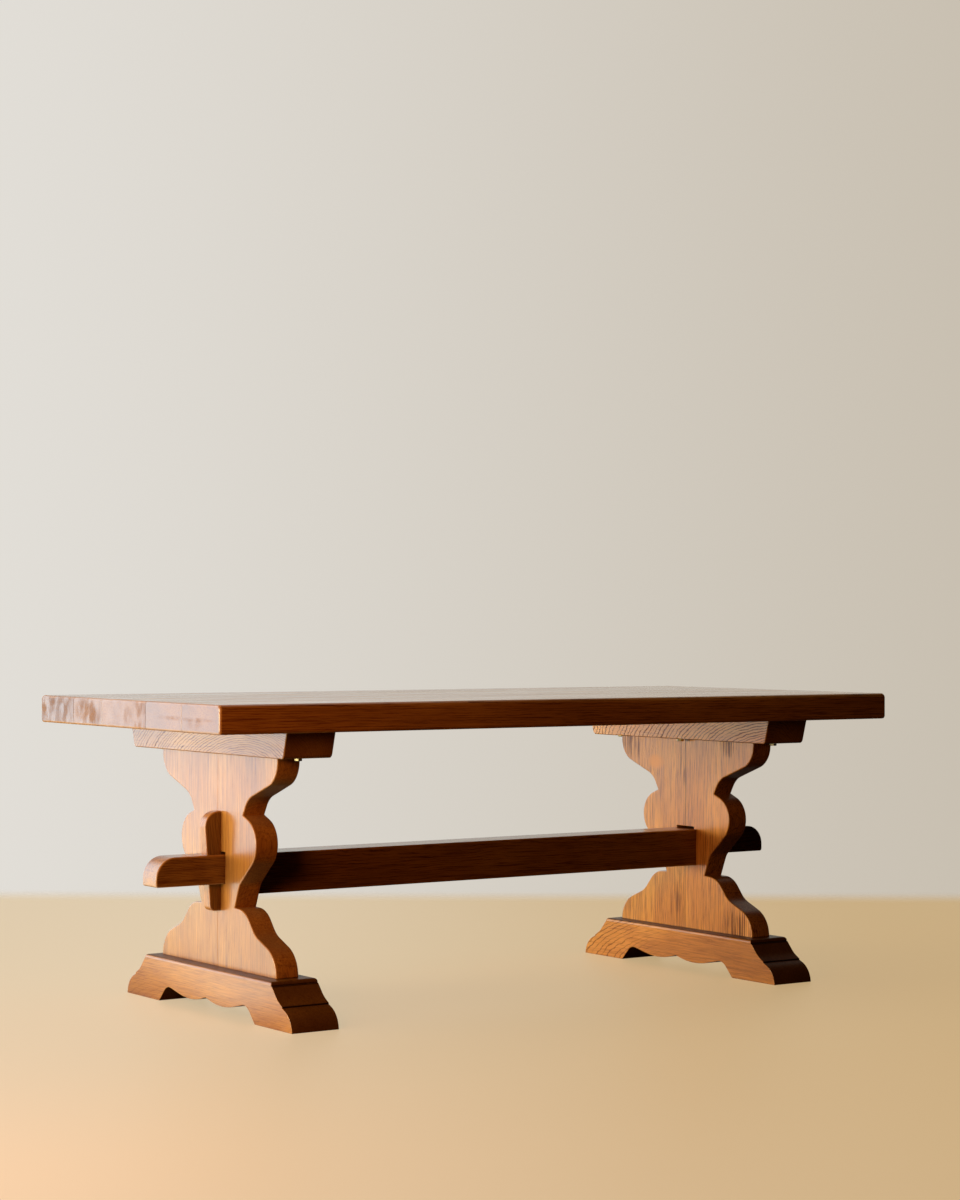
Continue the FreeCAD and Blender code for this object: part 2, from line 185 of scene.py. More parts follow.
# Painted light and shade in the tones: the left foot is darkened and the right foot lightened, and their
# moulded ends, undersides and top ledges are darkened as painted shade
FEET = {
    "left_foot": Board(
        "Y", "X", pith=(0.080, -0.090), tilt=(-0.120, 0.060), ring=0.0050, ripple=0.006,
        figure=0.20, strands=0.90, tone=0.87, edge_tone=0.34, seed=31, marks=(
            Mark("plain", (-0.100, 0.050), (0.400, 0.300), 0.8),
        ),
    ),
    "right_foot": Board(
        "Y", "X", pith=(-0.010, -0.100), tilt=(-0.360, 0.010), ring=0.0084, ripple=0.008,
        figure=0.60, strands=0.90, tone=1.30, edge_tone=0.28, seed=32, marks=(
            Mark("plain", (-0.180, 0.050), (0.400, 0.300), 0.95),
        ),
    ),
}
# Painted shade: the stretcher's front and back faces are darkened against its top, underside and ends
STRETCHER = {
    "stretcher": Board(
        "X", "Y", pith=(0.060, 0.090), tilt=(0.010, 0.024), ring=0.0040, ripple=0.006,
        figure=0.40, strands=1.70, tone=0.42, edge_tone=0.80, seed=41,
    ),
}
# Painted light and shade: the wedges' front and back faces are darkened, and their outer faces, tops and
# ends are kept light
WEDGES = {
    "left_wedge": Board(
        "Z", "Y", pith=(0.050, 0.040), tilt=(0.020, 0.030), ring=0.0036, ripple=0.003,
        figure=0.30, strands=1.70, tone=0.36, edge_tone=0.90, seed=51,
    ),
    "right_wedge": Board(
        "Z", "Y", pith=(0.060, 0.050), tilt=(0.030, 0.020), ring=0.0036, ripple=0.003,
        figure=0.30, strands=1.70, tone=0.36, edge_tone=0.90, seed=52,
    ),
}

# A dark line in a board, for joints and for painted shadow: the axis that it lies across, its place, its
# width, how much light it leaves, and the axis of the only faces that show it, or none where all do
Seam = namedtuple("Seam", "axis place width light face", defaults=(None,))

# Width of each kind of line, in metres, and the light that it leaves
PLANK_JOINT = (0.0018, 0.55)
# Painted shade with some dirt where the leg meets the foot and the cap
LEG_SHOULDER_SHADE = (0.0032, 0.35)
LEG_JOINT = {"left": (0.0022, 0.96), "right": (0.0022, 0.25)}
# Painted shadow under the feet's bead and in their crease
BEAD_SHADOW = (0.0036, 0.10)
CREASE_SHADOW = (0.0034, 0.10)

# Heights of the painted shadow lines in the moulded ends of the feet
BEAD_UNDERSIDE = 0.0955
CREASE_HEIGHT = 0.0535

# A plank's side this near to the side of the top is no joint
OUTER_EDGE = 0.01

# The coordinates across the grain, first and second, and the one along it
GRAIN_ORDER = {"X": (1, 2, 0), "Y": (0, 2, 1), "Z": (0, 1, 2)}


def operation(kind, swapped=False):
    """Makes an operator method that adds one Math node."""
    def apply(self, other):
        first, second = (other, self) if swapped else (self, other)
        return self.tree.math(kind, first, second)
    return apply


class Value:
    """A socket of a node tree, which adds Math nodes when it is used in an expression."""

    def __init__(self, tree, socket):
        self.tree = tree
        self.socket = socket

    __add__ = operation("ADD")
    __radd__ = operation("ADD", swapped=True)
    __sub__ = operation("SUBTRACT")
    __rsub__ = operation("SUBTRACT", swapped=True)
    __mul__ = operation("MULTIPLY")
    __rmul__ = operation("MULTIPLY", swapped=True)
    __truediv__ = operation("DIVIDE")
    __pow__ = operation("POWER")


class Tree:
    """A node tree, of a shader or of geometry."""

    def __init__(self, tree):
        self.tree = tree

    def node(self, kind, settings=None, sockets=None):
        """Adds a node, sets what it is, then gives its sockets their values or links."""
        made = self.tree.nodes.new(kind)
        for name, value in (settings or {}).items():
            setattr(made, name, value)
        for name, value in (sockets or {}).items():
            if isinstance(value, Value):
                self.tree.links.new(value.socket, made.inputs[name])
            else:
                made.inputs[name].default_value = value
        return made

    def value(self, made, output=0):
        return Value(self, made.outputs[output])

    def math(self, kind, *values):
        return self.value(self.node("ShaderNodeMath", {"operation": kind}, dict(enumerate(values))))

    def vector(self, x, y, z):
        return self.value(self.node("ShaderNodeCombineXYZ", None, {0: x, 1: y, 2: z}))


class Shader(Tree):
    """The node tree of a material or of the world."""

    def __init__(self, owner):
        owner.use_nodes = True
        super().__init__(owner.node_tree)
        self.tree.nodes.clear()

    def parts(self, vector):
        made = self.node("ShaderNodeSeparateXYZ", None, {0: vector})
        return [self.value(made, index) for index in range(3)]

    def noise(self, vector, scale=1.0, detail=2.0, roughness=0.5):
        sockets = {"Vector": vector, "Scale": scale, "Detail": detail, "Roughness": roughness}
        return self.value(self.node("ShaderNodeTexNoise", {"noise_dimensions": "3D"}, sockets))

    def step(self, value, low, high, start=0.0, end=1.0):
        """A smooth change from start to end as the value goes from low to high."""
        settings = {"interpolation_type": "SMOOTHSTEP"}
        sockets = {"Value": value, "From Min": low, "From Max": high, "To Min": start, "To Max": end}
        return self.value(self.node("ShaderNodeMapRange", settings, sockets))

    def mix(self, factor, first, second):
        """A colour between two others."""
        made = self.node("ShaderNodeMix", {"data_type": "RGBA"}, {0: factor, 6: first, 7: second})
        return self.value(made, 2)

    def scaled(self, colour, factor):
        settings = {"operation": "SCALE"}
        return self.value(self.node("ShaderNodeVectorMath", settings, {0: colour, "Scale": factor}))

    def clamped(self, value):
        """The value, kept between 0 and 1."""
        return self.math("MINIMUM", self.math("MAXIMUM", value, 0.0), 1.0)

    def finish(self, kind, surface):
        end = self.node(kind)
        self.tree.links.new(surface, end.inputs["Surface"])


def colour_property(name, description, *colour):
    """A colour that a user can change."""
    return FloatVectorProperty(
        name=name, description=description, subtype="COLOR", size=4, min=0, max=1, default=(*colour, 1),
    )


def number_property(name, description, value, **kind):
    """A number that a user can change."""
    return FloatProperty(name=name, description=description, default=value, **kind)


class OakFinish(bpy.types.PropertyGroup):
    """Colours and gloss of the stained and lacquered oak."""

    late_colour: colour_property(
        "Summer wood", "Stained colour of the dense wood of a growth ring", 0.55, 0.230, 0.040,
    )
    early_colour: colour_property(
        "Spring wood", "Stained colour of the open wood of a growth ring", 0.22, 0.062, 0.008,
    )
    gold_colour: colour_property("Golden wood", "Colour of the lightest patches", 0.63, 0.300, 0.060)
    pore_colour: colour_property(
        "Pores", "Colour of the stain that settled in the pores", 0.070, 0.017, 0.003,
    )
    end_colour: colour_property("End grain", "Colour of the end grain", 0.30, 0.140, 0.070)
    smudge_colour: colour_property(
        "End smudges", "Colour of the grey smudges on the end grain", 0.20, 0.090, 0.045,
    )
    knot_colour: colour_property("Knots", "Colour of a knot", 0.58, 0.220, 0.012)
    arris_colour: colour_property(
        "Worn arrises", "Colour where the stain is rubbed off the arrises", 0.45, 0.20, 0.05,
    )
    arris_width: number_property("Eased arris", "Rounding of the sharp edges", 0.0011, unit="LENGTH")
    roughness: number_property("Roughness", "Mean roughness of the lacquered wood", 0.42, subtype="FACTOR")
    coat: number_property("Lacquer", "Weight of the clear lacquer", 1.0, subtype="FACTOR")
    coat_roughness: number_property(
        "Lacquer roughness", "Roughness of the clear lacquer", 0.22, subtype="FACTOR",
    )
    top_coat: number_property(
        "Top's lacquer", "Weight of the lacquer on the table top", 0.90, subtype="FACTOR",
    )
    top_coat_roughness: number_property(
        "Top's lacquer roughness", "Roughness of the lacquer on the table top", 0.16, subtype="FACTOR",
    )


class ScrewSizes(bpy.types.PropertyGroup):
    """Sizes and colour of the hexagon-head wood screws."""

    head_flats: number_property("Head across flats", "Width of the hexagon head", 0.017, unit="LENGTH")
    head_chamfer: number_property(
        "Head chamfer", "Height of the chamfer under the head", 0.0012, unit="LENGTH",
    )
    washer_face: number_property(
        "Washer face", "Thickness of the round face against the cap", 0.0006, unit="LENGTH",
    )
    shank: number_property("Shank diameter", "Diameter of the shank", 0.010, unit="LENGTH")
    colour: colour_property("Plating", "Colour of the yellow zinc plating", 0.80, 0.66, 0.34)


class StageSettings(bpy.types.PropertyGroup):
    """Floor, backdrop, light and camera."""

    floor_colour: colour_property("Floor", "Colour of the plain floor", 0.92, 0.74, 0.50)
    # Painted shade: the floor darkens to the right, away from the light on the left
    floor_right_shade_colour: colour_property(
        "Floor on the right", "Colour of the plain floor on the right", 0.76, 0.53, 0.26,
    )
    bounce_colour: colour_property(
        "Floor's bounce", "Colour of the floor as it lights the table from below", 0.07, 0.020, 0.004,
    )
    patch_colour: colour_property(
        "Lit patch", "Colour of the lit floor at the back left, as the table mirrors it", 0.85, 0.95, 0.80,
    )
    patch_gain: number_property("Lit patch's light", "Strength of the lit floor at the back left", 2.5)
    floor_glow: number_property("Floor's glow", "Evenness of the floor as the camera sees it", 0.61)
    floor_share: number_property(
        "Floor's share", "Share of the floor's colour that takes light and shadow", 0.36,
    )
    backdrop_colour: colour_property("Backdrop", "Colour of the plain backdrop", 0.78, 0.755, 0.71)
    # Painted shade: the backdrop darkens to the right, away from the light on the left
    backdrop_right_shade_colour: colour_property(
        "Backdrop on the right", "Colour of the plain backdrop on the right", 0.56, 0.50, 0.41,
    )
    sheen_colour: colour_property(
        "Sheen", "Cool colour of the light on the left, as the table mirrors it", 0.44, 0.70, 0.85,
    )
    back_gain: number_property("Back", "Light from behind the table", 1.12)
    left_gain: number_property("Left", "Added sheen from the back left", 3.8)
    soft_share: number_property("Soft share", "Share of the back's light that falls on dull surfaces", 0.45)
    side_power: number_property("Side light", "Power of the tall light on the left", 400.0, unit="POWER")
    low_side_power: number_property(
        "Low side light", "Power of the low warm light on the left", 680.0, unit="POWER",
    )
    overhead_power: number_property(
        "Overhead light", "Power of the soft light over the table", 14.0, unit="POWER",
    )
    fill_power: number_property(
        "Fill light", "Power of the weak warm light at the front left", 26.0, unit="POWER",
    )
    camera_place: FloatVectorProperty(
        name="Camera place", description="Place of the camera", subtype="TRANSLATION",
        unit="LENGTH", default=(-3.7918, -5.4532, 0.922),
    )
    camera_turn: number_property(
        "Camera turn", "Turn of the level camera from the table's back", -0.609,
        subtype="ANGLE", unit="ROTATION",
    )
    camera_roll: number_property(
        "Camera roll", "Lean of the camera", 0.003, subtype="ANGLE", unit="ROTATION",
    )
    focal_length: number_property(
        "Focal length", "Focal length for a frame 36 mm high", 78.85, unit="CAMERA",
    )
    camera_shift: number_property("Camera shift", "Rise of the frame, as a share of its height", 0.0184)


class TableSettings(bpy.types.PropertyGroup):
    """Everything that a user would change."""

    oak: PointerProperty(type=OakFinish)
    screws: PointerProperty(type=ScrewSizes)
    stage: PointerProperty(type=StageSettings)


# Noise drawn out along the grain: its changes in a metre across the grain and along it, its detail and its
# roughness. Uneven and vivid noise runs across the growth rings, and ray noise outwards from the pith.
Grain = namedtuple("Grain", "across along detail roughness", defaults=(3.0, 0.5))
WAVER = Grain(4.0, 2.6)
RIPPLE = Grain(17.0, 15.0, 4.0, 0.6)
UNEVEN = Grain(46.0, 0.4, 2.0)
VIVID = Grain(150.0, 18.0)
RAGGED = Grain(90.0, 40.0)
RAY = Grain(16.0, 26.0, 1.0)
FIBRE = Grain(520.0, 16.0, 3.0, 0.6)
LINE = Grain(240.0, 9.0, 3.0, 0.6)
BAND = Grain(75.0, 1.8)
PATCH = Grain(8.0, 2.6)
PORE = Grain(1150.0, 45.0, 1.0)

# Metres along the trunk from one board's noise to the next one's, and how far the trunk wavers in metres
SEED_STEP = 3.7
BOARD_WAVER = 0.014
RING_WAVER = 0.016

# Uneven and ragged growth rings, in rings, and the shares of a ring where its open spring wood starts,
# is fully open and ends
UNEVEN_RINGS = 2.2
RAGGED_RINGS = 0.9
SPRING_WOOD = (0.0, 0.08, 0.36)

# Changes of the ray noise in a radian around the pith
RAY_TURN = 95.0

# Middle value of noise, and the values between which a thing starts to show, with how much of it shows
# before and after
NOISE_MEAN = 0.5
VIVID_STEP = (0.28, 0.56, 0.20, 1.0)
PORE_STEP = (0.56, 0.70)
RAY_STEP = (0.60, 0.70)
THREAD_STEP = (0.60, 0.76)
CLOUD_STEP = (0.34, 0.60, 0.15, 1.0)
GOLD_STEP = (0.42, 0.68)
GLOW_STEP = (0.40, 0.60, 1.0, 0.3)
RUBBED_STEP = (0.30, 0.70, 0.15, 0.60)

# Figure that end grain loses, pores in summer wood as a share of those in spring wood, how far a stain
# draws threads out of the lines, and the strength of stain at which they show fully
END_FIGURE_LOSS = 0.6
SUMMER_PORES = 0.25
THREAD_PULL = 0.26
FULL_STAIN = 0.3

# The edge of a mark, in reaches squared, and how far and how wide a knot pushes the rings aside
MARK_EDGE = (0.05, 1.6)
KNOT_PUSH = 0.016
KNOT_SPREAD = 6.0

# How far a face must turn to an axis to count as facing it, from not at all to fully
FACE_TURN = (0.55, 0.85)
LINE_FACE_TURN = (0.25, 0.50)

# Noise of the smudges on each axis, in changes in a metre, and of the rubbed arrises
CLOUD_SCALE = (16.0, 50.0, 24.0)
RUBBED_SCALE = 30.0

# Dark share of the mean wood, the mean of the spring wood, and what each strand adds
MEAN_DARK = 0.26
MEAN_SPRING = 0.30
FIBRE_SHARE = 1.5
LINE_SHARE = 1.8
BAND_SHARE = 0.6

# How much stain the rings, pores, rays and stain threads hold
RING_STAIN = 0.92
PORE_STAIN = 0.45
RAY_STAIN = 0.20
THREAD_STAIN = 0.75

# Share of the end colour in the end grain of the top and of the other boards
TOP_END_SHARE = 0.75
END_SHARE = 0.30

# Tone of the darkest patches, what the lightest add to it, and the share of a dark line that is fully dark
BASE_TONE = 0.70
PATCH_TONE = 0.6
DARK_LINE_CORE = 0.1

# Lacquer missing over pores, strands, stain threads and smudges, and at most
BARE_PORES = 0.5
BARE_STRANDS = 0.6
BARE_THREADS = 0.7
BARE_SMUDGES = 0.8
MOST_BARE = 0.95

# How far a face turns upwards where caps and feet grow dull, and where the top's own lacquer starts, with
# the streaks in it
DULL_UPWARD = (0.25, 0.80, 1.0, 0.1)
TOP_UPWARD = (0.7, 0.97)
BAND_STREAKS = 1.8
LINE_STREAKS = 1.2

# Roughness taken off the mean and added by fibres, pores and patches
SMOOTHER = 0.05
FIBRE_ROUGHNESS = 0.08
PORE_ROUGHNESS = 0.16
PATCH_ROUGHNESS = 0.10

# Relief of the pores, the open rings and the fibres, as shares of its distance, and its strength
PORE_DEPTH = 0.5
RING_DEPTH = 0.12
FIBRE_HEIGHT = 0.20
BUMP_DISTANCE = 0.0004
BUMP_STRENGTH = 0.20
TOP_BUMP_STRENGTH = 0.10

# Gloss of the wood under the lacquer
BASE_GLOSS = 0.10


class Oak:
    """Growth rings, fibres, pores, rays and marks of one board, the same through all its faces."""

    def __init__(self, shader, name, board):
        self.shader = shader
        self.board = board
        coordinates = shader.node("ShaderNodeTexCoord")
        self.object_place = shader.value(coordinates, "Object")
        self.place = shader.parts(self.object_place)
        self.facing = shader.parts(shader.value(coordinates, "Normal"))
        low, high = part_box(name)
        self.middle = (low + high) / 2
        self.first, self.second, self.along = GRAIN_ORDER[board.grain]
        self.length = self.place[self.along] - self.middle[self.along]
        self.seeded_length = self.length + SEED_STEP * board.seed
        self.is_top = board.flat == "Z"
        self.spots = {}
        self.lay_trunk()
        self.lay_marks()
        self.lay_rings()
        self.lay_strands()

    def drawn_out(self, grain, side_a, side_b):
        """Noise drawn out along the grain."""
        shader, along = self.shader, self.seeded_length * grain.along
        place = shader.vector(side_a * grain.across, side_b * grain.across, along)
        return shader.noise(place, detail=grain.detail, roughness=grain.roughness)

    def across_rings(self, grain, shift):
        """Noise that follows the growth rings."""
        shader, along = self.shader, self.seeded_length * grain.along
        place = shader.vector(self.radius * grain.across, shift, along)
        return shader.noise(place, detail=grain.detail, roughness=grain.roughness)

    def turned_to(self, axis, turn=FACE_TURN):
        """How far a face is turned to an axis, on either side."""
        return self.shader.step(self.shader.math("ABSOLUTE", self.facing[axis]), *turn)

    def lay_trunk(self):
        """Slow waver of the trunk, and a ripple on it where the growth rings are wild."""
        board = self.board
        sides = self.place[self.first], self.place[self.second]
        waver = self.drawn_out(WAVER, *sides) - NOISE_MEAN
        ripple = self.drawn_out(RIPPLE, *sides) - NOISE_MEAN
        self.sides = [side + waver * BOARD_WAVER for side in sides]
        swing = waver * RING_WAVER + ripple * board.ripple
        pith_a = self.middle[self.first] + board.pith[0]
        pith_b = self.middle[self.second] + board.pith[1]
        self.across = self.sides[0] + swing - pith_a + self.length * board.tilt[0]
        self.deep = self.sides[1] + swing - pith_b + self.length * board.tilt[1]
        self.radius = (self.across * self.across + self.deep * self.deep) ** 0.5

    def lay_marks(self):
        """Strength of each kind of mark. Knots also push the growth rings aside."""
        face_axes = [axis for axis in range(3) if axis != AXES[self.board.flat]]
        for mark in self.board.marks:
            axes = (self.first, self.second) if mark.kind == "smudge" else face_axes
            gaps = [(self.place[axis] - mark.place[i]) / mark.reach[i] for i, axis in enumerate(axes)]
            away = gaps[0] * gaps[0] + gaps[1] * gaps[1]
            if mark.kind == "knot":
                self.radius = self.radius + self.shader.step(away, 0.0, KNOT_SPREAD, KNOT_PUSH, 0.0)
            spot = self.shader.step(away, *MARK_EDGE, mark.strength, 0.0)
            self.spots[mark.kind] = spot + self.spots.get(mark.kind, 0.0)

    def lay_rings(self):
        """Uneven growth rings: open spring wood starts sharply and closes into dense summer wood."""
        shader, board = self.shader, self.board
        uneven = self.across_rings(UNEVEN, float(board.seed))
        ragged = self.drawn_out(RAGGED, self.place[self.first], self.place[self.second])
        vivid = self.across_rings(VIVID, board.seed + 0.5)
        phase = shader.math(
            "FRACT", self.radius / board.ring + uneven * UNEVEN_RINGS + ragged * RAGGED_RINGS
        )
        start, full, end = SPRING_WOOD
        early = shader.step(phase, start, full) * shader.step(phase, full, end, 1.0, 0.0)
        self.early = early * shader.step(vivid, *VIVID_STEP)
        self.end_grain = self.turned_to(self.along)
        shown = (1.0 - self.spots.get("plain", 0.0)) * (1.0 - self.end_grain * END_FIGURE_LOSS)
        self.figure = shown * board.figure

    def lay_strands(self):
        """What runs along the grain, and the rays, which run outwards from the pith."""
        shader = self.shader
        self.fibre = self.drawn_out(FIBRE, *self.sides)
        self.lines = self.drawn_out(LINE, *self.sides)
        self.bands = self.drawn_out(BAND, *self.sides)
        self.patch = self.drawn_out(PATCH, *self.sides)
        pores = shader.step(self.drawn_out(PORE, *self.sides), *PORE_STEP)
        self.pores = pores * (self.early * (1.0 - SUMMER_PORES) + SUMMER_PORES)
        turn = shader.math("ARCTAN2", self.across, self.deep)
        along = self.seeded_length * RAY.along
        outwards = shader.vector(turn * RAY_TURN, self.radius * RAY.across, along)
        self.rays = shader.step(shader.noise(outwards, detail=RAY.detail), *RAY_STEP)
        if "stain" in self.spots:
            stain = self.spots["stain"]
            threads = shader.step(stain * THREAD_PULL + self.lines, *THREAD_STEP)
            self.threads = threads * shader.step(stain, 0.0, FULL_STAIN)
        if "smudge" in self.spots:
            x, y, z = [part * scale for part, scale in zip(self.place, CLOUD_SCALE)]
            cloud = shader.noise(shader.vector(x, y, z + self.board.seed), detail=3.0)
            self.smudge = self.spots["smudge"] * shader.step(cloud, *CLOUD_STEP)

    def face_colour(self, finish):
        """Colour of the wood before its tone."""
        shader, spots = self.shader, self.spots
        strands = (self.fibre - NOISE_MEAN) * FIBRE_SHARE + (self.lines - NOISE_MEAN) * LINE_SHARE
        strands = strands + (self.bands - NOISE_MEAN) * BAND_SHARE
        dark = (self.early - MEAN_SPRING) * self.figure + strands * self.board.strands + MEAN_DARK
        golden = shader.mix(shader.step(self.patch, *GOLD_STEP), finish.late_colour, finish.gold_colour)
        colour = shader.mix(shader.clamped(dark), golden, finish.early_colour)
        colour = shader.mix(self.early * self.figure * RING_STAIN, colour, finish.pore_colour)
        colour = shader.mix(self.rays * RAY_STAIN, colour, finish.late_colour)
        colour = shader.mix(self.pores * PORE_STAIN, colour, finish.pore_colour)
        # A glow mark mixes in the golden colour; on the left leg it is painted bounce light beside the
        # wedge and tenon
        if "glow" in spots:
            glow = spots["glow"] * shader.step(self.lines, *GLOW_STEP)
            colour = shader.mix(glow, colour, finish.gold_colour)
        if "knot" in spots:
            colour = shader.mix(spots["knot"], colour, finish.knot_colour)
        if "stain" in spots:
            colour = shader.mix(self.threads * THREAD_STAIN, colour, finish.pore_colour)
        end_colour = finish.end_colour
        if "smudge" in spots:
            end_colour = shader.mix(self.smudge, finish.end_colour, finish.smudge_colour)
        end_share = TOP_END_SHARE if self.is_top else END_SHARE
        return shader.mix(self.end_grain * end_share, colour, end_colour)

    def tone(self, dark_lines):
        """Tone of the flat faces, the edges and the ends, with the board's painted light and shade, darker
        along the dark lines.
        """
        shader, board = self.shader, self.board
        flatness = self.turned_to(AXES[board.flat])
        patchy = self.patch * PATCH_TONE + BASE_TONE
        tone = patchy * (flatness * (board.tone - board.edge_tone) + board.edge_tone)
        for dark_line in dark_lines:
            gap = shader.math("ABSOLUTE", self.place[dark_line.axis] - dark_line.place)
            shade = shader.step(gap, dark_line.width * DARK_LINE_CORE, dark_line.width, 1.0 - dark_line.light, 0.0)
            if dark_line.face is not None:
                shade = shade * self.turned_to(dark_line.face, LINE_FACE_TURN)
            tone = tone * (1.0 - shade)
        return tone

    def colour(self, finish, dark_lines):
        """Colour of the wood in its tone, which holds painted light and shade, with the stain rubbed off
        its arrises.
        """
        shader = self.shader
        colour = shader.scaled(self.face_colour(finish), self.tone(dark_lines))
        arris = shader.value(shader.node("ShaderNodeAttribute", {"attribute_name": "arris"}), "Fac")
        rubbed = shader.noise(self.object_place, scale=RUBBED_SCALE, detail=3.0)
        bare = arris * shader.step(rubbed, *RUBBED_STEP)
        return shader.mix(bare, colour, finish.arris_colour)

    def lacquer(self, finish):
        """Weight of the clear lacquer, which is thin over open grain, stain and smudges."""
        shader, board = self.shader, self.board
        bare = self.early * self.figure + self.pores * BARE_PORES
        bare = bare + (NOISE_MEAN - self.lines) * board.strands * BARE_STRANDS
        if "stain" in self.spots:
            bare = bare + self.threads * BARE_THREADS
        if "smudge" in self.spots:
            bare = bare + self.smudge * self.end_grain * BARE_SMUDGES
        coat = shader.clamped((1.0 - bare * MOST_BARE) * finish.coat)
        if board.grain == "Y":
            coat = coat * shader.step(self.facing[2], *DULL_UPWARD)
        if self.is_top:
            upward = shader.step(self.facing[2], *TOP_UPWARD)
            streaks = (self.bands - NOISE_MEAN) * BAND_STREAKS + (self.lines - NOISE_MEAN) * LINE_STREAKS
            streaks = streaks + 1.0
            coat = coat * (1.0 - upward) + upward * streaks * finish.top_coat
        return coat

    def roughness(self, finish):
        patchy = (self.patch - NOISE_MEAN) * PATCH_ROUGHNESS
        smooth = finish.roughness - SMOOTHER
        return smooth + self.fibre * FIBRE_ROUGHNESS + self.pores * PORE_ROUGHNESS + patchy

    def bump(self):
        """Fine relief of the pores, the open rings and the fibres."""
        height = 0.5 - self.pores * PORE_DEPTH - self.early * RING_DEPTH * self.board.figure
        height = height + self.fibre * FIBRE_HEIGHT
        strength = TOP_BUMP_STRENGTH if self.is_top else BUMP_STRENGTH
        return self.shader.value(self.shader.node("ShaderNodeBump", None, {
            "Strength": strength, "Distance": BUMP_DISTANCE, "Height": height,
        }))


def oak_material(name, board, finish, dark_lines):
    """Stained and lacquered oak of one board."""
    material = bpy.data.materials.new(name)
    shader = Shader(material)
    oak = Oak(shader, name, board)
    surface = shader.node("ShaderNodeBsdfPrincipled", None, {
        "Base Color": oak.colour(finish, dark_lines), "Roughness": oak.roughness(finish),
        "Normal": oak.bump(), "Coat Weight": oak.lacquer(finish), "Specular IOR Level": BASE_GLOSS,
        "Coat Roughness": finish.top_coat_roughness if oak.is_top else finish.coat_roughness,
    })
    shader.finish("ShaderNodeOutputMaterial", surface.outputs[0])
    return material


def add_piece(name, mesh):
    piece = bpy.data.objects.new(name, mesh)
    bpy.context.scene.collection.objects.link(piece)
    return piece


def plain_mesh(piece):
    """Turns what the piece's modifiers make into its own mesh."""
    depsgraph = bpy.context.evaluated_depsgraph_get()
    mesh = bpy.data.meshes.new_from_object(
        piece.evaluated_get(depsgraph), preserve_all_data_layers=True, depsgraph=depsgraph
    )
    piece.modifiers.clear()
    piece.data = mesh


def body_of(node):
    """The body that a node moves with."""
    bodies = frame["record"]["behaviour"]["bodies"]
    return next(body for body, members in bodies.items() if node in members)


def make_board(node, board, finish, dark_lines=(), worn_height=math.inf):
    """A board of the node's shape with eased arrises, worn below a height, in its own oak."""
    mesh = frame["nodes"][node].data.copy()
    cleaned = bmesh.new()
    cleaned.from_mesh(mesh)
    bmesh.ops.remove_doubles(cleaned, verts=cleaned.verts, dist=MERGE_DISTANCE)
    bmesh.ops.dissolve_limit(
        cleaned, angle_limit=math.radians(PLANAR_ANGLE), verts=cleaned.verts, edges=cleaned.edges
    )
    cleaned.to_mesh(mesh)
    cleaned.free()
    mesh.shade_smooth()
    piece = add_piece(node + "_oak", mesh)
    bevel = piece.modifiers.new("arrises", "BEVEL")
    bevel.width = finish.arris_width
    bevel.segments = ARRIS_SEGMENTS
    bevel.limit_method = "ANGLE"
    bevel.angle_limit = math.radians(SHARP_ANGLE)
    normals = piece.modifiers.new("normals", "WEIGHTED_NORMAL")
    normals.weight = NORMAL_WEIGHT
    plain_mesh(piece)
    worn = AXES[board.grain if board.flat == "Z" else board.flat]
    arris = piece.data.attributes.new("arris", "FLOAT", "FACE")
    for face, mark in zip(piece.data.polygons, arris.data):
        eased = ARRIS_TURN[0] < abs(face.normal[worn]) < ARRIS_TURN[1]
        mark.value = 1.0 if eased and face.center.z < worn_height else 0.0
    piece.data.materials.clear()
    piece.data.materials.append(oak_material(node, board, finish, dark_lines))
    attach(piece, body_of(node))
    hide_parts(node)
    return piece


def make_boards(boards, finish):
    for node, board in boards.items():
        make_board(node, board, finish)


class TABLE_OT_top(bpy.types.Operator):
    """Makes the five planks of the table top"""

    bl_idname = "trestle_table.top"
    bl_label = "Table top"

    def execute(self, context):
        for node, board in PLANKS.items():
            low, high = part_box(node)
            front, back = CAD_BOX[0].y + OUTER_EDGE, CAD_BOX[1].y - OUTER_EDGE
            dark_lines = [Seam(AXES["Y"], y, *PLANK_JOINT) for y in (low.y, high.y) if front < y < back]
            make_board(node, board, context.scene.trestle_table.oak, dark_lines)
        return {"FINISHED"}


class TABLE_OT_legs(bpy.types.Operator):
    """Makes the boards of the two scrolled legs"""

    bl_idname = "trestle_table.legs"
    bl_label = "Legs"

    def execute(self, context):
        for node, board in LEG_BOARDS.items():
            side = node.split("_")[0]
            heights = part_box(side + "_foot")[1].z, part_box(side + "_cap")[0].z
            # Painted shade with some dirt at the shoulders, and the real joint between the boards
            dark_lines = [Seam(AXES["Z"], height, *LEG_SHOULDER_SHADE) for height in heights]
            dark_lines.append(Seam(AXES["Y"], 0.0, *LEG_JOINT[side]))
            make_board(node, board, context.scene.trestle_table.oak, dark_lines)
        return {"FINISHED"}


class TABLE_OT_caps(bpy.types.Operator):
    """Makes the cap bars under the top"""

    bl_idname = "trestle_table.caps"
    bl_label = "Caps"

    def execute(self, context):
        make_boards(CAPS, context.scene.trestle_table.oak)
        return {"FINISHED"}


class TABLE_OT_feet(bpy.types.Operator):
    """Makes the moulded feet"""

    bl_idname = "trestle_table.feet"
    bl_label = "Feet"

    def execute(self, context):
        # Painted shadow lines under the bead and in the crease of the moulded ends
        dark_lines = (
            Seam(AXES["Z"], BEAD_UNDERSIDE, *BEAD_SHADOW, AXES["Y"]),
            Seam(AXES["Z"], CREASE_HEIGHT, *CREASE_SHADOW, AXES["Y"]),
        )
        for node, board in FEET.items():
            make_board(node, board, context.scene.trestle_table.oak, dark_lines, BEAD_UNDERSIDE)
        return {"FINISHED"}


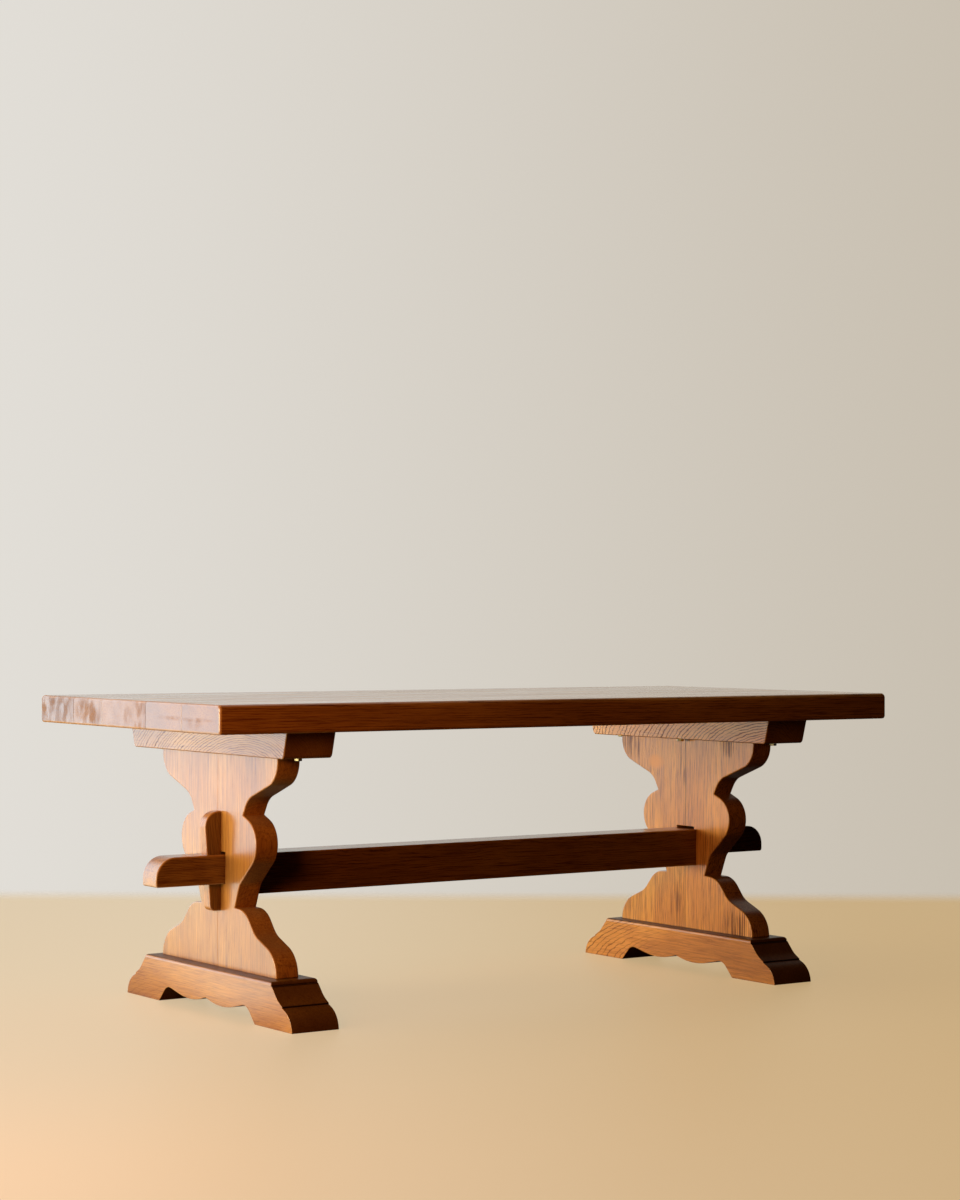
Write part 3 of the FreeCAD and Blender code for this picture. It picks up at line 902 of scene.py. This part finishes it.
class TABLE_OT_stretcher(bpy.types.Operator):
    """Makes the stretcher with its through tenons"""

    bl_idname = "trestle_table.stretcher"
    bl_label = "Stretcher"

    def execute(self, context):
        make_boards(STRETCHER, context.scene.trestle_table.oak)
        return {"FINISHED"}


class TABLE_OT_wedges(bpy.types.Operator):
    """Makes the tusk wedges"""

    bl_idname = "trestle_table.wedges"
    bl_label = "Wedges"

    def execute(self, context):
        make_boards(WEDGES, context.scene.trestle_table.oak)
        return {"FINISHED"}


# Zinc plating: the scales of its patches and its grain, the colour left in a dull patch, and its metal
ZINC_PATCH_SCALE = 160.0
ZINC_GRAIN_SCALE = 1400.0
ZINC_DULL = 0.72
ZINC_METAL = 0.8

# Screws: their sides and segments, the narrow end of the head's chamfer and the washer face as shares of
# the head, and the limits by which the heads of a node are told apart, in metres
HEAD_SIDES = 6
WASHER_SEGMENTS = 40
SHANK_SEGMENTS = 24
CHAMFER_SHARE = 0.86
WASHER_SHARE = 0.98
HEAD_LEVEL = 1e-5
HEAD_REACH = 0.05


def zinc_material(colour):
    """Yellow zinc plating with dull patches."""
    material = bpy.data.materials.new("yellow_zinc")
    shader = Shader(material)
    place = shader.value(shader.node("ShaderNodeTexCoord"), "Object")
    patch = shader.noise(place, scale=ZINC_PATCH_SCALE, detail=3.0)
    grain = shader.noise(place, scale=ZINC_GRAIN_SCALE, detail=2.0)
    dull = [ZINC_DULL * part for part in colour[:3]] + [1.0]
    bump = shader.node("ShaderNodeBump", None, {"Strength": 0.2, "Distance": 0.0002, "Height": grain})
    surface = shader.node("ShaderNodeBsdfPrincipled", None, {
        "Base Color": shader.mix(shader.step(patch, 0.35, 0.65), colour, dull), "Metallic": ZINC_METAL,
        "Roughness": patch * 0.25 + 0.22, "Normal": shader.value(bump),
    })
    shader.finish("ShaderNodeOutputMaterial", surface.outputs[0])
    return material


def head_middles(node):
    """Middle points of a node's screw heads, at their undersides."""
    low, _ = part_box(node)
    groups = []
    for vertex in frame["nodes"][node].data.vertices:
        if vertex.co.z > low.z + HEAD_LEVEL:
            continue
        near = [group for group in groups if (group[0] - vertex.co).length < HEAD_REACH]
        if near:
            near[0].append(vertex.co.copy())
        else:
            groups.append([vertex.co.copy()])
    corners = [(Vector(map(min, zip(*group))), Vector(map(max, zip(*group)))) for group in groups]
    return [(lowest + highest) / 2 for lowest, highest in corners]


def screw_tree(material):
    """Geometry nodes that set a hexagon-head screw on every point."""
    group = bpy.data.node_groups.new("hexagon_screws", "GeometryNodeTree")
    group.interface.new_socket("Geometry", in_out="INPUT", socket_type="NodeSocketGeometry")
    for name in ("Head Radius", "Head Height", "Chamfer", "Washer Face", "Shank Radius", "Shank Length"):
        group.interface.new_socket(name, in_out="INPUT", socket_type="NodeSocketFloat")
    group.interface.new_socket("Geometry", in_out="OUTPUT", socket_type="NodeSocketGeometry")
    tree = Tree(group)
    source = tree.node("NodeGroupInput")

    def given(name):
        return tree.value(source, name)

    def cylinder(sides, radius, depth):
        sockets = {"Vertices": sides, "Radius": radius, "Depth": depth}
        return tree.node("GeometryNodeMeshCylinder", {"fill_type": "NGON"}, sockets)

    def raised(made, height):
        sockets = {"Geometry": tree.value(made), "Translation": tree.vector(0.0, 0.0, height)}
        return tree.value(tree.node("GeometryNodeTransform", None, sockets))

    head_height, chamfer = given("Head Height"), given("Chamfer")
    prism_height = head_height - chamfer
    prism = cylinder(HEAD_SIDES, given("Head Radius"), prism_height)
    drawn = tree.node("GeometryNodeExtrudeMesh", {"mode": "FACES"}, {
        "Mesh": tree.value(prism, "Mesh"), "Selection": tree.value(prism, "Bottom"),
        "Offset Scale": chamfer,
    })
    chamfered = tree.node("GeometryNodeScaleElements", {"domain": "FACE"}, {
        "Geometry": tree.value(drawn, "Mesh"), "Selection": tree.value(drawn, "Top"),
        "Scale": CHAMFER_SHARE,
    })
    head = raised(chamfered, chamfer + prism_height * 0.5)
    washer_face = given("Washer Face")
    washer = cylinder(WASHER_SEGMENTS, given("Head Radius") * WASHER_SHARE, washer_face)
    washer = raised(washer, head_height - washer_face * 0.5)
    shank_length = given("Shank Length")
    shank = cylinder(SHANK_SEGMENTS, given("Shank Radius"), shank_length)
    shank = raised(shank, head_height + shank_length * 0.5)
    joined = tree.node("GeometryNodeJoinGeometry")
    for part in (shank, washer, head):
        group.links.new(part.socket, joined.inputs[0])
    placed = tree.node("GeometryNodeInstanceOnPoints", None, {
        "Points": given("Geometry"), "Instance": tree.value(joined),
    })
    real = tree.node("GeometryNodeRealizeInstances", None, {"Geometry": tree.value(placed)})
    plated = tree.node("GeometryNodeSetMaterial", None, {
        "Geometry": tree.value(real), "Material": material,
    })
    tree.node("NodeGroupOutput", None, {0: tree.value(plated)})
    return group


class TABLE_OT_screws(bpy.types.Operator):
    """Makes the hexagon-head screws under the caps"""

    bl_idname = "trestle_table.screws"
    bl_label = "Cap screws"

    def execute(self, context):
        sizes = context.scene.trestle_table.screws
        tree = screw_tree(zinc_material(sizes.colour))
        for side in SIDES:
            node = side + "_cap_screws"
            low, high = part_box(node)
            cap_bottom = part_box(side + "_cap")[0].z
            head_height = cap_bottom - low.z
            points = bpy.data.meshes.new(node + "_points")
            points.from_pydata(head_middles(node), [], [])
            piece = add_piece(node + "_zinc", points)
            nodes = piece.modifiers.new("screws", "NODES")
            nodes.node_group = tree
            values = {
                "Head Radius": sizes.head_flats / math.sqrt(3), "Head Height": head_height,
                "Chamfer": sizes.head_chamfer, "Washer Face": sizes.washer_face,
                "Shank Radius": sizes.shank / 2, "Shank Length": high.z - cap_bottom,
            }
            for item in tree.interface.items_tree:
                if item.in_out == "INPUT" and item.name in values:
                    nodes[item.identifier] = values[item.name]
            plain_mesh(piece)
            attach(piece, body_of(node))
            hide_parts(node)
        return {"FINISHED"}


# A lamp: its place, the point that it faces, its width and height, and its colour
Lamp = namedtuple("Lamp", "place aim width height colour")
SIDE = Lamp(Vector((-10.0, 0.35, 2.9)), Vector((0.0, 0.0, 0.4)), 5.0, 5.8, (1.0, 0.92, 0.78))
LOW_SIDE = Lamp(Vector((-9.3, 3.9, 0.7)), Vector((0.0, 0.0, 0.4)), 6.0, 1.4, (1.0, 0.80, 0.46))
OVERHEAD = Lamp(Vector((0.3, 0.9, 3.6)), Vector((0.3, 0.8, 0.0)), 3.0, 2.4, (1.0, 0.97, 0.92))
FILL = Lamp(Vector((-2.6, -1.6, 1.2)), Vector((-0.6, 0.0, 0.5)), 0.7, 0.7, (1.0, 0.38, 0.09))

# The floor: its radius and segments, the photograph's view across it and into its depth, where it fades out
# at the sides, deepens in colour to the right and fades out behind the table, and the lit patch's edges
FLOOR_RADIUS = 6.0
FLOOR_SEGMENTS = 96
VIEW_ACROSS, VIEW_DEEP = 0.572, 0.820
SIDE_FADE = (3.6, 5.0)
# Painted shade: the floor darkens to the right, away from the light on the left
FLOOR_SHADE_RAMP = (-1.2, 1.4)
BACK_FADE = (2.0, 2.4)
PATCH_SLANT = 0.3
PATCH_LEFT = (-0.75, -0.95)
PATCH_FRONT = (-0.3, 0.3)


def floor_material(settings):
    """Plain floor that fades into the backdrop. To the table it is darker than to the camera, but for a
    lit patch at the back left."""
    material = bpy.data.materials.new("plain_floor")
    shader = Shader(material)
    place = shader.parts(shader.value(shader.node("ShaderNodeTexCoord"), "Object"))
    away = (place[0] * place[0] + place[1] * place[1]) ** 0.5
    behind = place[0] * VIEW_ACROSS + place[1] * VIEW_DEEP
    fade = shader.math("MAXIMUM", shader.step(away, *SIDE_FADE), shader.step(behind, *BACK_FADE))
    seen = shader.value(shader.node("ShaderNodeLightPath"), "Is Camera Ray")
    patch = shader.step(place[1] * PATCH_SLANT + place[0], *PATCH_LEFT)
    patch = patch * shader.step(place[1], *PATCH_FRONT)
    lit = shader.scaled(settings.patch_colour[:3], patch * settings.patch_gain)
    # Painted shade darkens the floor to the right
    across = place[0] * VIEW_DEEP - place[1] * VIEW_ACROSS
    rightward_shade = shader.step(across, *FLOOR_SHADE_RAMP)
    plain = shader.mix(rightward_shade, settings.floor_colour, settings.floor_right_shade_colour)
    glow = shader.scaled(plain, settings.floor_glow)
    dull = shader.scaled(plain, settings.floor_share)
    surface = shader.node("ShaderNodeBsdfPrincipled", None, {
        "Base Color": shader.mix(seen, settings.bounce_colour, dull),
        "Roughness": 0.5, "Specular IOR Level": 0.2, "Emission Strength": 1.0,
        "Emission Color": shader.mix(seen, lit, glow),
    })
    clear = shader.node("ShaderNodeBsdfTransparent")
    faded = shader.node("ShaderNodeMixShader", None, {
        0: fade, 1: shader.value(surface), 2: shader.value(clear),
    })
    shader.finish("ShaderNodeOutputMaterial", faded.outputs[0])
    return material


# The light from around, by its direction: where the backdrop's colour turns to the right one, how the light
# falls off upwards and downwards, where it starts at the back, and where the sheen starts and ends
# Painted shade: the backdrop darkens to the right, away from the light on the left
BACKDROP_SHADE_RAMP = (-0.30, 0.30)
LEVEL_FADE = (0.25, 0.75, 1.0, 0.25)
BACK_START = (0.0, 0.45)
SHEEN_START = (-0.76, -0.47)
SHEEN_END = (0.10, -0.22)


def make_world(settings):
    """Backdrop for the camera. For other rays, light from the back with a cool sheen at its left."""
    world = bpy.data.worlds.new("studio")
    bpy.context.scene.world = world
    shader = Shader(world)
    path = shader.node("ShaderNodeLightPath")
    seen = shader.value(path, "Is Camera Ray")
    mirrored = shader.value(path, "Is Glossy Ray")
    direction = shader.parts(shader.value(shader.node("ShaderNodeTexCoord"), "Generated"))
    # Painted shade darkens the backdrop to the right
    rightward_shade = shader.step(direction[0] * VIEW_DEEP - direction[1] * VIEW_ACROSS, *BACKDROP_SHADE_RAMP)
    backdrop = shader.mix(rightward_shade, settings.backdrop_colour, settings.backdrop_right_shade_colour)
    level = shader.step(shader.math("ABSOLUTE", direction[2]), *LEVEL_FADE)
    back = shader.step(direction[1], *BACK_START) * level
    left = shader.step(direction[0], *SHEEN_START) * shader.step(direction[0], *SHEEN_END)
    light = back * (left * mirrored * settings.left_gain + settings.back_gain)
    light = light * (mirrored * (1.0 - settings.soft_share) + settings.soft_share)
    tint = shader.mix(left * mirrored, backdrop, settings.sheen_colour)
    colour = shader.mix(seen, shader.scaled(tint, light), backdrop)
    glow = shader.node("ShaderNodeBackground", None, {"Color": colour, "Strength": 1.0})
    shader.finish("ShaderNodeOutputWorld", glow.outputs[0])


def make_light(name, lamp, power, mirrored=True):
    """One soft light, turned to the point that it lights. The lacquer may mirror it or not."""
    data = bpy.data.lights.new(name, "AREA")
    data.energy = power
    data.shape = "RECTANGLE"
    data.size = lamp.width
    data.size_y = lamp.height
    data.color = lamp.colour
    light = bpy.data.objects.new(name, data)
    bpy.context.scene.collection.objects.link(light)
    light.location = lamp.place
    light.rotation_euler = (lamp.aim - lamp.place).to_track_quat("-Z", "Y").to_euler()
    light.visible_camera = False
    light.visible_glossy = mirrored


def make_camera(settings):
    data = bpy.data.cameras.new("camera")
    data.sensor_width = 36.0
    data.lens = settings.focal_length
    data.shift_y = settings.camera_shift
    camera = bpy.data.objects.new("camera", data)
    bpy.context.scene.collection.objects.link(camera)
    camera.matrix_world = (
        Matrix.Translation(settings.camera_place)
        @ Matrix.Rotation(settings.camera_turn, 4, "Z")
        @ Matrix.Rotation(math.pi / 2, 4, "X")
        @ Matrix.Rotation(settings.camera_roll, 4, "Z")
    )
    bpy.context.scene.camera = camera


class TABLE_OT_stage(bpy.types.Operator):
    """Makes the floor, the backdrop, the light and the camera"""

    bl_idname = "trestle_table.stage"
    bl_label = "Stage"

    def execute(self, context):
        settings = context.scene.trestle_table.stage
        disc = bmesh.new()
        bmesh.ops.create_circle(disc, cap_ends=True, segments=FLOOR_SEGMENTS, radius=FLOOR_RADIUS)
        mesh = bpy.data.meshes.new("floor")
        disc.to_mesh(mesh)
        disc.free()
        floor = add_piece("floor", mesh)
        floor.data.materials.append(floor_material(settings))
        make_world(settings)
        make_light("side_light", SIDE, settings.side_power)
        make_light("low_side_light", LOW_SIDE, settings.low_side_power)
        make_light("overhead_light", OVERHEAD, settings.overhead_power)
        make_light("fill_light", FILL, settings.fill_power, mirrored=False)
        make_camera(settings)
        context.scene.view_settings.view_transform = "Standard"
        return {"FINISHED"}


OPERATORS = (
    TABLE_OT_top, TABLE_OT_caps, TABLE_OT_legs, TABLE_OT_feet, TABLE_OT_stretcher, TABLE_OT_wedges,
    TABLE_OT_screws, TABLE_OT_stage,
)


class TABLE_PT_panel(bpy.types.Panel):
    """Lists the table's pieces"""

    bl_idname = "TABLE_PT_panel"
    bl_label = "Trestle table"
    bl_space_type = "VIEW_3D"
    bl_region_type = "UI"
    bl_category = "Table"

    def draw(self, context):
        for operator in OPERATORS:
            self.layout.operator(operator.bl_idname)


CLASSES = (OakFinish, ScrewSizes, StageSettings, TableSettings, *OPERATORS, TABLE_PT_panel)


def register():
    for cls in CLASSES:
        bpy.utils.register_class(cls)
    bpy.types.Scene.trestle_table = PointerProperty(type=TableSettings)


def unregister():
    del bpy.types.Scene.trestle_table
    for cls in reversed(CLASSES):
        bpy.utils.unregister_class(cls)


def main():
    register()
    for operator in OPERATORS:
        category, name = operator.bl_idname.split(".")
        getattr(getattr(bpy.ops, category), name)()


if __name__ == "__main__":
    main()
